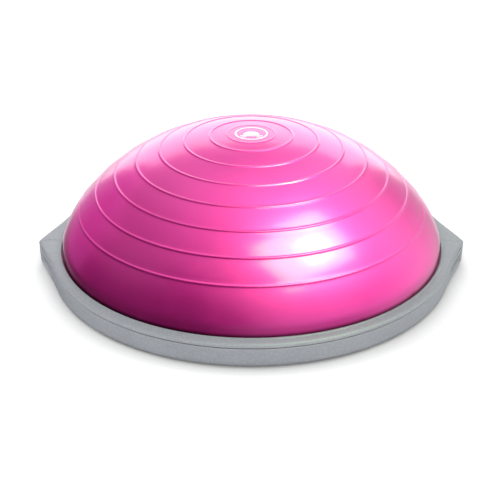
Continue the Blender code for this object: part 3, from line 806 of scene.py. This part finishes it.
def valve_stopper(look):
    """The plug, with two sealing beads and a finger tab across its head."""
    head_radius = 15.0 * MM
    head_low = 5.2 * MM
    head_top = 8.3 * MM
    shank = 10.2 * MM
    hollow = 6.8 * MM
    profile = [(0.0, head_low + 0.9 * MM), (9.6 * MM, head_low + 0.9 * MM), (10.6 * MM, head_low)]
    profile += [(head_radius - 0.9 * MM, head_low), (head_radius - 0.25 * MM, head_low + 0.3 * MM),
                (head_radius, head_low + 0.9 * MM), (head_radius, head_top - 0.2 * MM),
                (head_radius - 0.2 * MM, head_top), (shank, head_top)]
    for middle in (14.0 * MM, 19.0 * MM):
        for step in range(-4, 5):
            share = step / 4
            profile.append((shank + bead(share, 1.0001, 0.6 * MM), middle + 1.5 * MM * share))
    profile += [(shank, 24.0 * MM), (shank - 1.3 * MM, PLUG_HIGH.z - 0.6 * MM),
                (shank - 1.8 * MM, PLUG_HIGH.z), (hollow, PLUG_HIGH.z), (hollow, 12.0 * MM), (0.0, 12.0 * MM)]
    bm = turned(profile, 96)
    tab = bmesh.new()
    half = 9.8 * MM
    waist = 2.6 * MM
    top = head_low + 1.6 * MM
    outline = []
    for i in range(48):
        angle = tau * i / 48
        x = half * cos(angle)
        width = 1.5 * MM + (waist - 1.5 * MM) * (x / half) ** 2
        outline.append((x, width * max(-1.0, min(1.0, 2.2 * sin(angle)))))
    low_face = tab.faces.new([tab.verts.new((x, y, PLUG_LOW.z)) for x, y in outline])
    lifted = bmesh.ops.extrude_face_region(tab, geom=[low_face])
    moved = [item for item in lifted["geom"] if isinstance(item, bmesh.types.BMVert)]
    bmesh.ops.translate(tab, verts=moved, vec=(0.0, 0.0, top - PLUG_LOW.z))
    bm = carve(bm, tab, "UNION")
    return finish_piece(bm, "valve_stopper", look, "plug", ["valve_plug"], sharp=30.0)


def rubber_feet(look):
    """Push-in feet with two grooves turned into the sole."""
    foot = FOOT_HIGH.x - node_centre("foot_1").x
    stem = 4.0 * MM
    barb = PLATE_TOP + 0.3 * MM
    profile = [(0.0, 1.0 * MM), (5.0 * MM, 1.0 * MM), (5.5 * MM, 0.0)]
    for groove in (7.4 * MM, 10.0 * MM):
        profile += [(groove - 0.7 * MM, 0.0), (groove - 0.35 * MM, 0.6 * MM), (groove + 0.35 * MM, 0.6 * MM),
                    (groove + 0.7 * MM, 0.0)]
    profile += [(foot - 1.2 * MM, 0.0), (foot - 0.35 * MM, 0.35 * MM), (foot, 1.2 * MM),
                (foot, FOOT_TOP_FACE - 0.4 * MM), (foot - 0.4 * MM, FOOT_TOP_FACE), (stem, FOOT_TOP_FACE),
                (stem, barb), (stem + 1.4 * MM, barb), (stem - 1.4 * MM, FOOT_HIGH.z), (0.0, FOOT_HIGH.z)]
    bm = turned(profile, 64)
    bmesh.ops.recalc_face_normals(bm, faces=bm.faces)
    mesh = bpy.data.meshes.new("rubber_foot")
    bm.to_mesh(mesh)
    bm.free()
    for i, place in enumerate(foot_places(), 1):
        place_piece(mesh, f"rubber_foot_{i}", look, "platform", [f"foot_{i}"],
                    at=(*place, 0.0))


FOOT_TOP_FACE = 5.6 * MM


def platform_screws(look):
    """Pan-head screws with a cross recess and rolled threads."""
    head = (SCREW_HIGH.x - SCREW_LOW.x) / 2
    shank = 2.0 * MM
    head_low = SCREW_LOW.z
    head_top = 6.6 * MM
    profile = [(0.0, head_low), (head * 0.45, head_low), (head * 0.80, head_low + 0.25 * MM),
               (head * 0.96, head_low + 0.75 * MM), (head, head_low + 1.2 * MM), (head, head_top),
               (shank, head_top)]
    pitch = 1.6 * MM
    height = 16.0 * MM
    while height < SCREW_HIGH.z - 3.0 * MM:
        profile += [(shank - 0.5 * MM, height), (shank, height + 0.45 * pitch), (shank - 0.5 * MM, height + 0.9 * pitch)]
        height += pitch
    profile += [(shank - 0.6 * MM, SCREW_HIGH.z - 1.6 * MM), (0.0, SCREW_HIGH.z)]
    bm = turned(profile, 40)
    cross = bmesh.new()
    depth = 1.3 * MM
    for turn in (0.0, pi / 2):
        bar = bmesh.new()
        add_box(bar, (3.9 * MM, 0.95 * MM, 2 * depth), (0.0, 0.0, head_low), turn)
        mesh = bpy.data.meshes.new("bar")
        bar.to_mesh(mesh)
        bar.free()
        cross.from_mesh(mesh)
        bm = carve(bm, cross, "DIFFERENCE")
        cross = bmesh.new()
    cross.free()
    bmesh.ops.recalc_face_normals(bm, faces=bm.faces)
    mesh = bpy.data.meshes.new("platform_screw")
    bm.to_mesh(mesh)
    bm.free()
    for i, place in enumerate(screw_places(), 1):
        place_piece(mesh, f"platform_screw_{i:02d}", look, "platform",
                    [f"clamp_screw_{i:02d}"], at=(*place, 0.0))


# Studio

def studio_floor():
    """A white sweep: a disc that turns up into a wall all round."""
    look, tree, shader = new_look("studio_white")
    tone = noise_socket(tree, place_socket(tree), 1.5, 1.0)
    tree.links.new(mix_colour(tree, tone, (0.60, 0.60, 0.60, 1.0), (0.62, 0.62, 0.62, 1.0)),
                   shader.inputs["Base Color"])
    shader.inputs["Roughness"].default_value = 0.9
    shader.inputs["Specular IOR Level"].default_value = 0.0
    shader.inputs["Emission Color"].default_value = (1.0, 1.0, 1.0, 1.0)
    # Painted contact shadow: the floor's glow dims where the ambient-occlusion mask finds the trainer close by.
    shade = add_node(tree, "ShaderNodeAmbientOcclusion", {"Distance": FLOOR_SHADE_REACH}, samples=8)
    tree.links.new(remap(tree, shade.outputs["AO"], 0.45, 0.90, FLOOR_DARKEST, FLOOR_GLOW),
                   shader.inputs["Emission Strength"])
    bm = bmesh.new()
    flat, bend, height = 5.0, 2.5, 5.0
    profile = [(0.001, 0.0), (1.0, 0.0), (flat, 0.0)]
    profile += [(flat + bend * sin(pi / 2 * i / 12), bend * (1 - cos(pi / 2 * i / 12))) for i in range(1, 13)]
    profile += [(flat + bend, height)]
    rows = [[bm.verts.new((r * cos(tau * i / 96), r * sin(tau * i / 96), z)) for r, z in profile]
            for i in range(96)]
    for row, after in zip(rows, rows[1:] + rows[:1]):
        for i in range(len(profile) - 1):
            bm.faces.new((row[i], row[i + 1], after[i + 1], after[i]))
    bm.faces.new([row[0] for row in rows])
    mesh = bpy.data.meshes.new("studio_floor")
    bm.to_mesh(mesh)
    bm.free()
    mesh.shade_smooth()
    mesh.materials.append(look)
    floor = bpy.data.objects.new("studio_floor", mesh)
    bpy.context.scene.collection.objects.link(floor)
    floor.visible_glossy = False


def towards(azimuth, elevation):
    a, e = radians(azimuth), radians(elevation)
    return Vector((sin(a) * cos(e), cos(a) * cos(e), sin(e)))


def softbox(name, azimuth, elevation, distance, size, brightness, colour):
    """A rectangular soft light that faces the dome. Brightness is its surface brightness."""
    lamp = bpy.data.lights.new(name, "AREA")
    lamp.shape = "RECTANGLE"
    lamp.size, lamp.size_y = size
    lamp.energy = brightness * pi * size[0] * size[1]
    lamp.color = colour
    made = bpy.data.objects.new(name, lamp)
    bpy.context.scene.collection.objects.link(made)
    made.location = LIGHT_AIM + distance * towards(azimuth, elevation)
    made.rotation_euler = (made.location - LIGHT_AIM).to_track_quat("Z", "Y").to_euler()
    made.visible_camera = False
    return made


def studio_lights():
    for panel in GLOSS_PANELS:
        softbox(*panel).visible_diffuse = False
    for panel in FILL_PANELS:
        softbox(*panel).visible_glossy = False


def studio_world():
    """Soft glows round the studio, seen in reflections only."""
    world = bpy.data.worlds.new("studio_world")
    bpy.context.scene.world = world
    world.use_nodes = True
    tree = world.node_tree
    direction = add_node(tree, "ShaderNodeTexCoord").outputs["Generated"]
    total = GLOW_BASE
    for azimuth, elevation, spread, brightness in GLOWS:
        dot = add_node(tree, "ShaderNodeVectorMath", {0: direction, 1: towards(azimuth, elevation)},
                       operation="DOT_PRODUCT")
        glow = add_node(tree, "ShaderNodeMapRange",
                        {"Value": dot.outputs["Value"], "From Min": cos(radians(spread)), "From Max": 1.0,
                         "To Max": brightness}, interpolation_type="SMOOTHSTEP")
        total = add_node(tree, "ShaderNodeMath", {0: total, 1: glow.outputs["Result"]},
                         operation="ADD").outputs[0]
    back = tree.nodes["Background"]
    back.inputs["Color"].default_value = (1.0, 1.0, 1.0, 1.0)
    tree.links.new(total, back.inputs["Strength"])
    world.cycles_visibility.diffuse = False


def camera():
    data = bpy.data.cameras.new("camera")
    data.lens = CAMERA_LENS
    data.sensor_width = CAMERA_SENSOR
    data.dof.use_dof = False
    made = bpy.data.objects.new("camera", data)
    bpy.context.scene.collection.objects.link(made)
    made.location = CAMERA_PLACE
    made.rotation_euler = (CAMERA_TILT, 0.0, 0.0)
    bpy.context.scene.camera = made


def build():
    grey = moulded_plastic("platform_plastic", (0.238, 0.252, 0.276), (0.265, 0.280, 0.304),
                           (0.46, 0.475, 0.50), 0.44)
    white = moulded_plastic("valve_plastic", (0.74, 0.74, 0.72), (0.80, 0.80, 0.78), (0.88, 0.88, 0.86), 0.38)
    skin = moulded_plastic("floor_vinyl", (0.60, 0.03, 0.24), (0.70, 0.05, 0.30), (0.78, 0.12, 0.40), 0.45)

    platform_base(grey)
    grip_ring(grey)
    air_dome(dome_vinyl())
    crown_print(crown_ink())
    valve_grommet(white)
    valve_stopper(white)
    rubber_feet(foot_rubber())
    platform_screws(screw_steel())
    for material_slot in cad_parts["bladder_floor"].material_slots:
        material_slot.material = skin

    studio_floor()
    studio_lights()
    studio_world()
    camera()
    bpy.context.scene.view_settings.view_transform = "Standard"


build()
